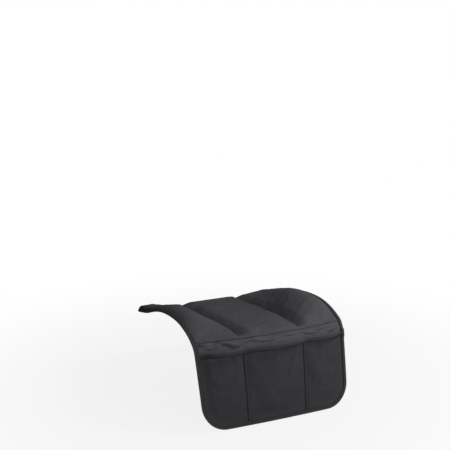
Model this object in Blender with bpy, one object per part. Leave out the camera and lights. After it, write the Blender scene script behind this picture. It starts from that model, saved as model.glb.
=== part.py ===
"""Car seat protector: a padded cloth mat that lies over a seat cushion, with a front flap
that hangs down over the cushion's nose and carries three mesh pockets.

Every piece is cut as a flat pattern and then draped. A point of a pattern is (x, s):
x runs across the mat, and s runs along the cloth from the front seam, negative towards
the rear edge and positive down the flap. The drape lays that point on the cushion, and
a height h lifts it along the cloth's own normal, so that the plies lie on each other.

Units are metres, +Z is up, the flap faces -Y. The origin is on the underside of the
mat, at the middle of the part that rests on the cushion.
"""

import math

import bmesh
import bpy
import numpy as np

# The mat laid flat
MAT_WIDTH = 0.470
SEAT_LENGTH = 0.452
FLAP_LENGTH = 0.244
FLAP_CORNER_RADIUS = 0.070
REAR_CORNER_RADIUS = 0.018
FLAP_NARROWING = 0.010
FOLD_OFFSET = 0.094

# Plies and padding
FACE_THICKNESS = 0.0008
BACKING_THICKNESS = 0.0008
FOAM_THICKNESS = 0.0050
FOAM_MARGIN = 0.005
FOAM_SHOULDER = 0.020
PLY_GAP = 0.00035

# The tape that binds the edge
BINDING_WIDTH = 0.012
BINDING_THICKNESS = 0.0010
EDGE_CLEARANCE = 0.0006
BINDING_EASE = 0.0006
REAR_CORNER_EASE = 0.0010

# The pockets on the flap
POCKET_DROP = 0.029
POCKET_TAPE_WIDTH = 0.013
POCKET_TAPE_THICKNESS = 0.0008
MESH_THICKNESS = 0.0008
CENTRE_BELLY = 0.019
SIDE_BELLY = 0.018
DIVIDER_WIDTH = 0.012
DIVIDER_THICKNESS = 0.0008
MESH_MARGIN = 0.008
MESH_TUCK = 0.035
SIDE_MESH_COLUMNS = 4
CENTRE_MESH_COLUMNS = 6
MESH_ROWS = 8
STRAND_SHARE = 0.16

# The seam between the seat cloth and the flap cloth
SEAM_LAP = 0.010
SEAM_CLIMB = 0.006

# The cushion below, as two rails seen from the side: how steeply the cloth falls, in
# degrees below level and heading for the flap, at each distance along it
CENTRE_RAIL = (
    (-0.452, -6.5), (-0.300, -6.2), (-0.150, -6.2), (-0.090, -4.8), (-0.030, 0.0), (0.0, 30.0), (0.035, 80.0),
    (0.250, 84.0),
)
SIDE_RAIL = (
    (-0.452, -16.0), (-0.340, -18.0), (-0.250, -12.0), (-0.130, 0.0), (-0.030, 22.0), (0.0, 38.0), (0.030, 76.0),
    (0.250, 78.0),
)
CENTRE_SEAM = (-0.020, 0.001)
SIDE_SEAM = (0.0, 0.0)
CREST_SHARE = 0.72
CREST_ROUND_END = 0.86
CREST_RISE = 0.25
NOSE_REAR = -0.060
NOSE_FRONT = 0.030

# The rounded shoulder that the cushion's bolster gives each rear corner
SHOULDER_RISE = 0.010
SHOULDER_FADE = 0.120

# The two creases that run back from the front seam
CREASE_DEPTH = 0.012
CREASE_LIP = 0.014
CREASE_RISE = 0.044
CREASE_END = 0.040
CREASE_REAR_SHARE = 0.3
CREASE_REAR_FADE = 0.120

HALF_WIDTH = MAT_WIDTH / 2
CORNER_START = HALF_WIDTH - FLAP_CORNER_RADIUS
RAIL_STEP = 0.0002
NUDGE = 0.0004


def smooth(t):
    """0 below 0, 1 above 1, and an even S between."""
    t = np.clip(t, 0.0, 1.0)
    return t * t * (3.0 - 2.0 * t)


def rail_table(knots, seam):
    """(s, fall, y, z) along a rail, found by walking it in small steps from the seam."""
    s = np.arange(-SEAT_LENGTH - 0.01, FLAP_LENGTH + 0.01, RAIL_STEP)
    places, falls = zip(*knots)
    fall = np.radians(np.interp(s, places, falls))
    y = np.concatenate([[0.0], np.cumsum(-np.cos((fall[1:] + fall[:-1]) / 2) * RAIL_STEP)])
    z = np.concatenate([[0.0], np.cumsum(-np.sin((fall[1:] + fall[:-1]) / 2) * RAIL_STEP)])
    y += seam[0] - np.interp(0.0, s, y)
    z += seam[1] - np.interp(0.0, s, z)
    return s, fall, y, z


CENTRE_TABLE = rail_table(CENTRE_RAIL, CENTRE_SEAM)
SIDE_TABLE = rail_table(SIDE_RAIL, SIDE_SEAM)


def side_share(x, s):
    """How far a point follows the side rail: 0 on the centre rail, 1 on the side rail."""
    out = np.clip((np.abs(x) - FOLD_OFFSET) / (HALF_WIDTH - FOLD_OFFSET), 0.0, None)
    past = np.clip(out - CREST_SHARE, 0.0, None)
    bend = CREST_ROUND_END - CREST_SHARE
    droop = np.where(past < bend, past * past / (2 * bend), past - bend / 2)
    droop /= (1.0 - CREST_SHARE) - bend / 2
    on_cushion = (1.0 + CREST_RISE) * smooth(out / CREST_SHARE) - CREST_RISE * droop
    on_flap = (x / HALF_WIDTH) ** 2
    nose = smooth((s - NOSE_REAR) / (NOSE_FRONT - NOSE_REAR))
    return on_cushion * (1.0 - nose) + on_flap * nose


def shoulder(x, s):
    """Lift of the rear corners: up to the bolster's crest, down to the edge, and fading towards the flap."""
    crest = FOLD_OFFSET + (HALF_WIDTH - FOLD_OFFSET) * CREST_SHARE
    across = np.interp(np.abs(x), (CORNER_START, crest, HALF_WIDTH), (0.0, 1.0, 0.0))
    return SHOULDER_RISE * across * smooth(1.0 - (s + SEAT_LENGTH) / SHOULDER_FADE)


def crease(x, s):
    """Depth of the two creases: a steep lip on the left of each, and a long rise on its right."""
    depth = np.zeros_like(x + s)
    for middle in (-FOLD_OFFSET, FOLD_OFFSET):
        away = x - middle
        wall = np.where(away < 0, -away / CREASE_LIP, away / CREASE_RISE)
        depth += CREASE_DEPTH * (1.0 - smooth(wall))
    from_rear = smooth((s + SEAT_LENGTH) / CREASE_REAR_FADE)
    return depth * smooth(-s / CREASE_END) * (CREASE_REAR_SHARE + (1.0 - CREASE_REAR_SHARE) * from_rear)


def drape(x, s):
    """Where the pattern point (x, s) lies once the mat is on the cushion, before the origin is moved."""
    x, s = np.broadcast_arrays(np.asarray(x, float), np.asarray(s, float))
    share = side_share(x, s)
    blended = []
    for column in (1, 2, 3):
        centre = np.interp(s, CENTRE_TABLE[0], CENTRE_TABLE[column])
        side = np.interp(s, SIDE_TABLE[0], SIDE_TABLE[column])
        blended.append(centre * (1.0 - share) + side * share)
    fall, y, z = blended
    sunk = crease(x, s)
    narrowed = 1.0 - (FLAP_NARROWING / HALF_WIDTH) * np.clip(s, 0.0, None) / FLAP_LENGTH
    height = z - np.cos(fall) * sunk + shoulder(x, s)
    return np.stack([x * narrowed, y + np.sin(fall) * sunk, height], axis=-1)


def cloth_normal(x, s):
    """The cloth's upward or forward normal at (x, s), from two short steps each way."""
    across = drape(x + NUDGE, s) - drape(x - NUDGE, s)
    along = drape(x, s + NUDGE) - drape(x, s - NUDGE)
    normal = np.cross(along, across)
    return normal / np.linalg.norm(normal, axis=-1, keepdims=True)


def edge_distance(x, s):
    """Distance in from the mat's outline, round its four corners."""
    found = np.minimum(HALF_WIDTH - np.abs(x), np.minimum(s + SEAT_LENGTH, FLAP_LENGTH - s))
    for radius, past_end in (
        (FLAP_CORNER_RADIUS, s - (FLAP_LENGTH - FLAP_CORNER_RADIUS)),
        (REAR_CORNER_RADIUS, -SEAT_LENGTH + REAR_CORNER_RADIUS - s),
    ):
        past_side = np.abs(x) - (HALF_WIDTH - radius)
        in_corner = (past_side > 0) & (past_end > 0)
        found = np.where(in_corner, radius - np.hypot(past_side, past_end), found)
    return found


def fullness(x, s):
    """0 where the plies are sewn together, at the edge, the creases and the seam, and 1 over the foam."""
    from_edge = edge_distance(x, s) - BINDING_WIDTH
    from_fold = np.minimum(np.abs(x - FOLD_OFFSET), np.abs(x + FOLD_OFFSET))
    from_seam = -s - 2 * SEAM_LAP
    nearest = np.minimum(np.minimum(from_edge, from_fold), from_seam)
    return np.clip(nearest / FOAM_SHOULDER, 0.0, 1.0)


def core(x, s):
    """Half the space between the face cloth and the backing cloth."""
    return PLY_GAP / 2 + fullness(x, s) * (FOAM_THICKNESS / 2 + PLY_GAP)


def face_high(x, s):
    return core(x, s) + FACE_THICKNESS


def backing_high(x, s):
    return -core(x, s)


def backing_low(x, s):
    return -core(x, s) - BACKING_THICKNESS


def lap_low(x, s):
    """The seat cloth's front edge climbs on to the flap cloth, which it is sewn down to."""
    climb = smooth((s + SEAM_LAP + SEAM_CLIMB) / SEAM_CLIMB)
    return core(x, s) + climb * (FACE_THICKNESS + PLY_GAP)


def lap_high(x, s):
    return lap_low(x, s) + FACE_THICKNESS


def foam_high(x, s):
    return core(x, s) - PLY_GAP


def foam_low(x, s):
    return -foam_high(x, s)


POCKET_TOP = POCKET_DROP
TAPE_BOTTOM = POCKET_TOP + POCKET_TAPE_WIDTH
TAPE_CLEARED = TAPE_BOTTOM + 0.010
POCKET_BOTTOM = FLAP_LENGTH - BINDING_WIDTH
POCKET_SIDE = HALF_WIDTH - BINDING_WIDTH - NUDGE
DIVIDER_INNER = FOLD_OFFSET - DIVIDER_WIDTH / 2
DIVIDER_OUTER = FOLD_OFFSET + DIVIDER_WIDTH / 2
HEM_STEP = POCKET_TAPE_THICKNESS + PLY_GAP


def belly(x, s):
    """How far the mesh stands off the flap: most at each pocket's mouth, nothing at its seams."""
    down = np.clip((s - POCKET_TOP) / (POCKET_BOTTOM - POCKET_TOP), 0.0, 1.0)
    loose = np.cos(down * math.pi / 2) * smooth((edge_distance(x, s) - BINDING_WIDTH) / MESH_TUCK)
    depth = np.zeros_like(x + s)
    for low, high, most in (
        (-POCKET_SIDE, -DIVIDER_OUTER, SIDE_BELLY),
        (-DIVIDER_INNER, DIVIDER_INNER, CENTRE_BELLY),
        (DIVIDER_OUTER, POCKET_SIDE, SIDE_BELLY),
    ):
        share = np.clip((x - low) / (high - low), 0.0, 1.0)
        depth += most * 4.0 * share * (1.0 - share)
    return depth * loose


def mesh_low(x, s):
    """The mesh lies on the flap cloth, and clears the back of its own hem tape at the mouth."""
    at_hem = 1.0 - smooth((s - TAPE_BOTTOM) / (TAPE_CLEARED - TAPE_BOTTOM))
    return face_high(x, s) + PLY_GAP + HEM_STEP * at_hem + belly(x, s)


def mesh_high(x, s):
    return mesh_low(x, s) + MESH_THICKNESS


def divider_low(x, s):
    return mesh_high(x, s) + PLY_GAP


def divider_high(x, s):
    return divider_low(x, s) + DIVIDER_THICKNESS


def top_ply(x, s):
    """Height of the uppermost ply below the edge binding."""
    high = lap_high(x, s) if s <= 0 else face_high(x, s)
    if s >= POCKET_TOP - 2 * HEM_STEP:
        high = mesh_high(x, max(s, POCKET_TOP)) + (HEM_STEP if s <= TAPE_BOTTOM else 0.0)
    return float(high)


def spread(start, end, count):
    return [start + (end - start) * k / count for k in range(count + 1)]


def arc_rows(count):
    """Shares of a corner's radius, even round its quarter turn."""
    return [math.sin(math.pi / 2 * k / count) for k in range(1, count + 1)]


def cloth_columns():
    """Places across the mat at which every ply has points, closest together at the creases."""
    found = [-CORNER_START, (-CORNER_START - FOLD_OFFSET - CREASE_LIP) / 2]
    for middle in (-FOLD_OFFSET, FOLD_OFFSET):
        near = [-CREASE_LIP, -FOAM_MARGIN, 0.0, FOAM_MARGIN, CREASE_RISE * 0.35, CREASE_RISE]
        found += [middle + step for step in near]
        if middle < 0:
            found += spread(middle + CREASE_RISE, FOLD_OFFSET - CREASE_LIP, 3)[1:-1]
    return found + [CORNER_START]


def side_columns(inset):
    """Places near the side edge, from the crest of the cushion's bolster outwards."""
    crest = FOLD_OFFSET + (HALF_WIDTH - FOLD_OFFSET) * CREST_SHARE
    pad_end = HALF_WIDTH - BINDING_WIDTH - FOAM_MARGIN
    return [crest, (crest + 2 * pad_end) / 3, pad_end, HALF_WIDTH - BINDING_WIDTH - NUDGE, HALF_WIDTH - inset]


def half_width_at(s, inset):
    """Half the width of the mat's outline at s, taken in by inset all round."""
    for radius, past in (
        (FLAP_CORNER_RADIUS, s - (FLAP_LENGTH - FLAP_CORNER_RADIUS)),
        (REAR_CORNER_RADIUS, -SEAT_LENGTH + REAR_CORNER_RADIUS - s),
    ):
        if past > 0:
            reach = max((radius - inset) ** 2 - past**2, 0.0)
            return HALF_WIDTH - radius + math.sqrt(reach)
    return HALF_WIDTH - inset


PAD_START = -SEAT_LENGTH + REAR_CORNER_RADIUS
PAD_END = -2 * SEAM_LAP - FOAM_MARGIN


def seat_rows(inset):
    """Places along the cushion, from the rear edge to the front seam."""
    corner = REAR_CORNER_RADIUS - inset
    found = [PAD_START - corner * share for share in reversed(arc_rows(3))]
    full = -SEAT_LENGTH + BINDING_WIDTH + FOAM_SHOULDER
    found += [-SEAT_LENGTH + BINDING_WIDTH + NUDGE, PAD_START, full]
    found += spread(full, -0.300, 2)[1:]
    found += spread(-0.300, -0.150, 3)[1:]
    found += [-0.115, -0.085, -0.060, -2 * SEAM_LAP - FOAM_SHOULDER, PAD_END, -SEAM_LAP - SEAM_CLIMB, -SEAM_LAP, 0.0]
    return found


def flap_rows(inset):
    """Places down the flap, from the seam to the hem, with the round corners last."""
    corner = FLAP_CORNER_RADIUS - inset
    straight_end = FLAP_LENGTH - FLAP_CORNER_RADIUS
    found = [0.009, 0.018, POCKET_TOP - 2 * HEM_STEP, POCKET_TOP, TAPE_BOTTOM, TAPE_CLEARED]
    found += spread(TAPE_CLEARED, straight_end, 3)[1:]
    found += [straight_end + corner * share for share in arc_rows(6)]
    return found


def cloth_grid(rows, inset):
    """Rows of pattern points from edge to edge, whose outer columns follow the round corners."""
    inner, outer = cloth_columns(), side_columns(inset)
    return cornered_grid(rows, inner, outer, inset)


def fanned(x, s, inset):
    """A column's place x, drawn in towards the middle where the outline turns a corner."""
    reach = (half_width_at(s, inset) - CORNER_START) / (HALF_WIDTH - inset - CORNER_START)
    past = max(abs(x) - CORNER_START, 0.0)
    return math.copysign(abs(x) - past + past * reach, x)


def cornered_grid(rows, inner, outer, inset):
    columns = [-x for x in reversed(outer)] + inner + outer
    return [[(fanned(x, s, inset), s) for x in columns] for s in rows]


def block_grid(columns, rows):
    return [[(x, s) for x in columns] for s in rows]


def pattern(grid, holed=()):
    """Flat points and triangles of a grid. Each cell named in holed, as (row, column), gets a diamond gap."""
    points, index, triangles = [], {}, []

    def number(point):
        key = (round(point[0], 6), round(point[1], 6))
        if key not in index:
            index[key] = len(points)
            points.append(point)
        return index[key]

    def add(*corners):
        found = [number(corner) for corner in corners]
        if len(set(found)) == 3:
            triangles.append(found)

    for r in range(len(grid) - 1):
        for c in range(len(grid[r]) - 1):
            ring = [grid[r][c], grid[r + 1][c], grid[r + 1][c + 1], grid[r][c + 1]]
            if (r, c) not in holed:
                add(ring[0], ring[1], ring[2])
                add(ring[0], ring[2], ring[3])
                continue
            middle = np.mean(ring, axis=0)
            gap = []
            for k in range(4):
                half_way = (np.asarray(ring[k]) + np.asarray(ring[(k + 1) % 4])) / 2
                gap.append(tuple(half_way + (middle - half_way) * STRAND_SHARE))
            for k in range(4):
                add(ring[k], ring[(k + 1) % 4], gap[k])
                add(ring[(k + 1) % 4], gap[(k + 1) % 4], gap[k])
    return np.array(points), triangles


def lifted(points, height):
    x, s = points[:, 0], points[:, 1]
    return drape(x, s) + cloth_normal(x, s) * np.asarray(height(x, s))[:, None]


def open_edges(triangles):
    """Edges of the pattern that only one triangle has, in that triangle's direction."""
    seen = set()
    for a, b, c in triangles:
        seen |= {(a, b), (b, c), (c, a)}
    return [(a, b) for a, b in seen if (b, a) not in seen]


def finish(name, points, triangles, colour, roughness):
    """A named object from points and triangles, moved so that the origin is at the seat contact."""
    mesh = bpy.data.meshes.new(name)
    mesh.from_pydata([tuple(p) for p in points - ORIGIN], [], [tuple(t) for t in triangles])
    solid = bmesh.new()
    solid.from_mesh(mesh)
    bmesh.ops.recalc_face_normals(solid, faces=solid.faces)
    solid.to_mesh(mesh)
    solid.free()
    material = bpy.data.materials.new(name)
    material.use_nodes = True
    shader = material.node_tree.nodes["Principled BSDF"]
    shader.inputs["Base Color"].default_value = (*colour, 1.0)
    shader.inputs["Roughness"].default_value = roughness
    shader.inputs["Metallic"].default_value = 0.0
    mesh.materials.append(material)
    made = bpy.data.objects.new(name, mesh)
    bpy.context.scene.collection.objects.link(made)
    mesh.shade_smooth()
    mesh.set_sharp_from_angle(angle=math.radians(35))
    return made


def ply(name, flat, low, high, colour, roughness):
    """A cut piece of cloth or foam: its pattern lifted to two heights and closed round its rims."""
    points, triangles = flat
    count = len(points)
    faces = list(triangles)
    faces += [(a + count, c + count, b + count) for a, b, c in triangles]
    for a, b in sorted(open_edges(triangles)):
        faces.append((b, a, a + count))
        faces.append((b, a + count, b + count))
    return finish(name, np.concatenate([lifted(points, high), lifted(points, low)]), faces, colour, roughness)


def folded_section(width, thickness, inside_low, inside_high, crown):
    """A tape folded over an edge, as (distance in, height) points: out along its back, round, and home."""
    low, high = inside_low - thickness, inside_high + thickness
    middle = (low + high) / 2
    return [
        (width, high), (crown, high), (0.0, middle + (high - middle) * 0.45), (0.0, middle + (low - middle) * 0.45),
        (crown, low), (width, low), (width, inside_low), (thickness, inside_low), (thickness, inside_high),
        (width, inside_high),
    ]


def tape(name, path, sections, closed, colour, roughness):
    """Sweeps a folded section along pattern points. Each path point is (x, s, inward x, inward s)."""
    rings = []
    for (x, s, in_x, in_s), section in zip(path, sections):
        px = np.array([x + in_x * d for d, _ in section])
        ps = np.array([s + in_s * d for d, _ in section])
        heights = np.array([h for _, h in section])
        rings.append(drape(px, ps) + cloth_normal(px, ps) * heights[:, None])
    size, count = len(rings[0]), len(rings)
    faces = []
    for k in range(count if closed else count - 1):
        near, far = k * size, ((k + 1) % count) * size
        for j in range(size):
            following = (j + 1) % size
            faces.append((near + j, far + j, far + following))
            faces.append((near + j, far + following, near + following))
    if not closed:
        last = (count - 1) * size
        half = size // 2
        for j in range(half - 1):
            ring = [j, j + 1, size - 2 - j, size - 1 - j]
            faces += [(ring[0], ring[1], ring[2]), (ring[0], ring[2], ring[3])]
            faces += [(last + ring[0], last + ring[2], last + ring[1]), (last + ring[0], last + ring[3], last + ring[2])]
    return finish(name, np.concatenate(rings), faces, colour, roughness)


CLOTH_INSET = BINDING_THICKNESS + EDGE_CLEARANCE
CHARCOAL = (0.062, 0.060, 0.066)
BLACK = (0.026, 0.026, 0.027)
NET_BLACK = (0.030, 0.029, 0.031)
UNDERSIDE = (0.040, 0.040, 0.042)
FOAM_GREY = (0.18, 0.18, 0.18)
ORIGIN = lifted(np.array([[0.0, -SEAT_LENGTH / 2]]), backing_low)[0]


def build_plies():
    """The face cloth of the seat, the face cloth of the flap and the one-piece backing."""
    seat = seat_rows(CLOTH_INSET)
    flap = flap_rows(CLOTH_INSET)
    seat_grid = cloth_grid(seat, CLOTH_INSET)
    flap_grid = cloth_grid([-SEAM_LAP, 0.0] + flap, CLOTH_INSET)
    whole_grid = cloth_grid(seat + flap, CLOTH_INSET)
    ply("seat_face_cloth", pattern(seat_grid), lap_low, lap_high, CHARCOAL, 0.85)
    ply("flap_face_cloth", pattern(flap_grid), core, face_high, CHARCOAL, 0.85)
    ply("backing_cloth", pattern(whole_grid), backing_low, backing_high, UNDERSIDE, 0.9)


def build_pads():
    """Three foam pads, one in each channel between the sewn lines."""
    columns = sorted([-x for x in side_columns(CLOTH_INSET)[:3]] + cloth_columns() + side_columns(CLOTH_INSET)[:3])
    rows = [s for s in seat_rows(CLOTH_INSET) if PAD_START <= s <= PAD_END]
    inner, outer = FOLD_OFFSET - FOAM_MARGIN, FOLD_OFFSET + FOAM_MARGIN
    for side, low, high in (
        ("left", -HALF_WIDTH, -outer),
        ("centre", -inner, inner),
        ("right", outer, HALF_WIDTH),
    ):
        kept = [x for x in columns if low - NUDGE / 2 <= x <= high + NUDGE / 2]
        ply(f"foam_pad_{side}", pattern(block_grid(kept, rows)), foam_low, foam_high, FOAM_GREY, 0.95)


def edge_path():
    """Pattern points round the mat's outline, each with the way in from the edge."""
    columns = [x for x in cloth_columns() if abs(x) < CORNER_START - NUDGE]
    bolster = [CORNER_START] + side_columns(CLOTH_INSET)[:2]
    rear = [-x for x in reversed(bolster)] + columns + bolster
    sides = [s for s in seat_rows(CLOTH_INSET) + flap_rows(CLOTH_INSET)]
    sides = [s for s in sides if PAD_START + NUDGE < s < FLAP_LENGTH - FLAP_CORNER_RADIUS - NUDGE]
    path = []
    for x in rear:
        at_edge = fanned(x, -SEAT_LENGTH + CLOTH_INSET, CLOTH_INSET)
        lean = (fanned(x, -SEAT_LENGTH + BINDING_WIDTH, CLOTH_INSET) - at_edge) / (BINDING_WIDTH - CLOTH_INSET)
        path.append((at_edge - lean * CLOTH_INSET, -SEAT_LENGTH, lean, 1.0))
    path += corner_points(HALF_WIDTH - REAR_CORNER_RADIUS, PAD_START, REAR_CORNER_RADIUS, -90, 3)
    path += [(HALF_WIDTH, s, -1.0, 0.0) for s in sides]
    path += corner_points(CORNER_START, FLAP_LENGTH - FLAP_CORNER_RADIUS, FLAP_CORNER_RADIUS, 0, 6)
    path += [(x, FLAP_LENGTH, 0.0, -1.0) for x in reversed(columns)]
    path += corner_points(-CORNER_START, FLAP_LENGTH - FLAP_CORNER_RADIUS, FLAP_CORNER_RADIUS, 90, 6)
    path += [(-HALF_WIDTH, s, 1.0, 0.0) for s in reversed(sides)]
    path += corner_points(REAR_CORNER_RADIUS - HALF_WIDTH, PAD_START, REAR_CORNER_RADIUS, 180, 3)
    return path


def corner_points(x, s, radius, start, count):
    """A quarter turn round (x, s), from the start angle in degrees, both ends included."""
    found = []
    for k in range(count + 1):
        angle = math.radians(start + 90 * k / count)
        found.append((x + radius * math.cos(angle), s + radius * math.sin(angle), -math.cos(angle), -math.sin(angle)))
    return found


def build_edge_binding():
    """One tape folded over every ply, all the way round."""
    path = edge_path()
    sections = []
    for x, s, in_x, in_s in path:
        reach = CLOTH_INSET
        ease = BINDING_EASE
        if abs(x) > CORNER_START and s < PAD_START:
            ease += REAR_CORNER_EASE
        high = top_ply(np.array(x + in_x * reach), s + in_s * reach) + ease
        low = float(backing_low(np.array(x + in_x * reach), s + in_s * reach)) - ease
        sections.append(folded_section(BINDING_WIDTH, BINDING_THICKNESS, low, high, BINDING_THICKNESS))
    tape("edge_binding", path, sections, True, BLACK, 0.7)


def mesh_columns():
    """Places across the pockets: a solid margin at each seam, and even cells between."""
    outer = DIVIDER_OUTER + MESH_MARGIN
    inner = DIVIDER_INNER - MESH_MARGIN
    half = SIDE_MESH_COLUMNS // 2
    right = [FOLD_OFFSET, DIVIDER_OUTER] + spread(outer, CORNER_START, half)
    centre = [-FOLD_OFFSET, -DIVIDER_INNER] + spread(-inner, inner, CENTRE_MESH_COLUMNS) + [DIVIDER_INNER]
    inside = sorted([-x for x in right[1:]]) + centre + right
    outside = spread(CORNER_START, POCKET_SIDE, half)[1:] + [HALF_WIDTH - CLOTH_INSET]
    return inside, outside


def mesh_rows():
    found = [POCKET_TOP, TAPE_BOTTOM, TAPE_CLEARED]
    straight_end = FLAP_LENGTH - FLAP_CORNER_RADIUS
    found += spread(TAPE_CLEARED, straight_end, MESH_ROWS - 3)[1:]
    corner = FLAP_CORNER_RADIUS - CLOTH_INSET
    return found + [straight_end + corner * share for share in arc_rows(6)]


def build_mesh():
    """The net that fronts all three pockets in one width, with a gap in each cell of its field."""
    inside, outside = mesh_columns()
    rows = mesh_rows()
    grid = cornered_grid(rows, inside, outside, CLOTH_INSET)
    holed = set()
    for r in range(2, 2 + MESH_ROWS):
        for c in range(1, len(grid[0]) - 2):
            middle = abs(grid[0][c][0] + grid[0][c + 1][0]) / 2
            if abs(middle - FOLD_OFFSET) > DIVIDER_WIDTH / 2 + MESH_MARGIN:
                holed.add((r, c))
    ply("mesh_pocket_panel", pattern(grid, holed), mesh_low, mesh_high, NET_BLACK, 0.8)


def build_pocket_tape():
    """The tape folded over the net's top edge, open downwards, from side to side."""
    inside, outside = mesh_columns()
    columns = [-x for x in reversed(outside)] + inside + outside
    path, sections = [], []
    for x in columns:
        path.append((x, POCKET_TOP - HEM_STEP, 0.0, 1.0))
        low = float(mesh_low(np.array(x), POCKET_TOP)) - PLY_GAP
        high = float(mesh_high(np.array(x), POCKET_TOP)) + PLY_GAP
        width = POCKET_TAPE_WIDTH + HEM_STEP
        sections.append(folded_section(width, POCKET_TAPE_THICKNESS, low, high, POCKET_TAPE_THICKNESS))
    tape("pocket_top_binding", path, sections, False, BLACK, 0.7)


def build_dividers():
    """The two tapes sewn down the net, which part the three pockets."""
    rows = [TAPE_BOTTOM + HEM_STEP] + [s for s in mesh_rows() if TAPE_CLEARED <= s < POCKET_BOTTOM - HEM_STEP]
    rows.append(POCKET_BOTTOM - HEM_STEP)
    for side, sign in (("left", -1), ("right", 1)):
        columns = sorted([sign * DIVIDER_INNER, sign * FOLD_OFFSET, sign * DIVIDER_OUTER])
        flat = pattern(block_grid(columns, rows))
        ply(f"divider_tape_{side}", flat, divider_low, divider_high, BLACK, 0.7)


def remove_everything():
    for old in list(bpy.data.objects):
        bpy.data.objects.remove(old, do_unlink=True)


remove_everything()
build_plies()
build_pads()
build_mesh()
build_pocket_tape()
build_dividers()
build_edge_binding()
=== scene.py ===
import math

import bmesh
import bpy
import numpy as np
from mathutils import Matrix, Vector


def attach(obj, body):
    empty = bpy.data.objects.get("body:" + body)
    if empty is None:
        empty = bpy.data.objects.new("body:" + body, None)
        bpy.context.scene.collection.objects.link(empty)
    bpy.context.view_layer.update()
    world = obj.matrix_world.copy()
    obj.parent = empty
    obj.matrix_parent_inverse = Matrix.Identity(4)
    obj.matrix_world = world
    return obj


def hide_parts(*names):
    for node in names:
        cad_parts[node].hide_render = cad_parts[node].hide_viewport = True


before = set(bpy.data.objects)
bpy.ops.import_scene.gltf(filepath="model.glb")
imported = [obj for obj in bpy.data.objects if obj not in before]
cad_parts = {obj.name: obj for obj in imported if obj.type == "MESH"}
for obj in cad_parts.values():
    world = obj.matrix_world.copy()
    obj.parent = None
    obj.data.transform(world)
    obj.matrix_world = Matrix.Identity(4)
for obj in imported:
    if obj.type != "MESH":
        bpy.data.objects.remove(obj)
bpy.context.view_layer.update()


# The underside cloth: one piece of black polyester, as long as the whole mat, with grip dots
# printed all over it. Everything else is sewn on top of it, so the way it drapes over the
# cushion is worked out here and the later pieces lie on it.
MAT_WIDTH = 0.470
SEAT_LENGTH = 0.452
FLAP_LENGTH = 0.244
HALF_WIDTH = MAT_WIDTH / 2
FLAP_CORNER = 0.070
REAR_CORNER = 0.018
CORNER_START = HALF_WIDTH - FLAP_CORNER
FOLD = 0.094  # distance of each sewn fold from the middle
FOLD_DEPTH, FOLD_LIP, FOLD_SLOPE = 0.012, 0.014, 0.040
CREST_SHARE = 0.72  # where a side panel is highest, between its fold at 0 and its edge at 1
CLOTH = 0.0008
PLY_GAP = 0.00035
FOAM = 0.0050
PANEL_EDGE = 0.026  # over which a panel gets to its full thickness
BINDING_WIDTH = 0.012
INSET = 0.0016  # the plies end this far inside the fold of the edge binding
SEAM_LAP = 0.010
ORIGIN = np.array([0.0, 0.20344, -0.01160])  # the frame's zero: the mat's underside, half way along the seat

# Each rail is the distance from the front seam, and the cloth's fall there in degrees.
RAIL_STEP = 0.0002
CENTRE_RAIL = (
    (-0.452, -6.5), (-0.300, -6.2), (-0.150, -6.2), (-0.090, -4.8), (-0.030, 0.0), (0.0, 30.0),
    (0.035, 80.0), (0.250, 84.0),
)
SIDE_RAIL = (
    (-0.452, -16.0), (-0.340, -18.0), (-0.250, -12.0), (-0.130, 0.0), (-0.030, 22.0), (0.0, 38.0),
    (0.030, 76.0), (0.250, 78.0),
)

# Unevenness as wave lengths in metres and heights in millimetres. Each wave is turned by the golden
# angle from the last.
RIPPLES = ((0.120, 0.9), (0.085, 0.7), (0.060, 0.5), (0.041, 0.3), (0.029, 0.2), (0.021, 0.12))
GOLDEN_ANGLE = 2.39996


def ease(t):
    """3 t squared less 2 t cubed, with t held between 0 and 1."""
    t = np.clip(t, 0.0, 1.0)
    return t * t * (3.0 - 2.0 * t)


def rail(knots, seam):
    """Distance, fall, y and z along one rail. The fall is interpolated, and its cosine and sine are summed."""
    s = np.arange(-SEAT_LENGTH - 0.01, FLAP_LENGTH + 0.01, RAIL_STEP)
    fall = np.radians(np.interp(s, *zip(*knots)))
    half_way = (fall[1:] + fall[:-1]) / 2
    y = np.concatenate([[0.0], np.cumsum(-np.cos(half_way) * RAIL_STEP)])
    z = np.concatenate([[0.0], np.cumsum(-np.sin(half_way) * RAIL_STEP)])
    return s, fall, y + seam[0] - np.interp(0.0, s, y), z + seam[1] - np.interp(0.0, s, z)


CENTRE, SIDE = rail(CENTRE_RAIL, (-0.020, 0.001)), rail(SIDE_RAIL, (0.0, 0.0))


def corners_past(s):
    """For the flap's and the rear corners: the radius, and how far a point is past the corner's centre."""
    return (FLAP_CORNER, s - FLAP_LENGTH + FLAP_CORNER), (REAR_CORNER, REAR_CORNER - SEAT_LENGTH - s)


def edge_distance(x, s):
    """How far in from the outline: the least of three sides, or in a corner its radius less the way out."""
    found = np.minimum(HALF_WIDTH - np.abs(x), np.minimum(s + SEAT_LENGTH, FLAP_LENGTH - s))
    for radius, past_end in corners_past(s):
        past_side = np.abs(x) - HALF_WIDTH + radius
        found = np.where((past_side > 0) & (past_end > 0), radius - np.hypot(past_side, past_end), found)
    return found


def fold_distance(x):
    """Distance from the nearer of the two folds."""
    return np.minimum(np.abs(x - FOLD), np.abs(x + FOLD))


def side_share(x, s):
    """0 on the middle rail and 1 on the side rail. On the cushion it is 1.25 on the rounded crest between."""
    out = np.clip((np.abs(x) - FOLD) / (HALF_WIDTH - FOLD), 0.0, None)
    past = np.clip(out - CREST_SHARE, 0.0, None)
    droop = np.where(past < 0.14, past * past / 0.28, past - 0.07) / 0.21
    on_cushion = 1.25 * ease(out / CREST_SHARE) - 0.25 * droop
    nose = ease((s + 0.060) / 0.090)
    return on_cushion * (1.0 - nose) + (x / HALF_WIDTH) ** 2 * nose


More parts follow.
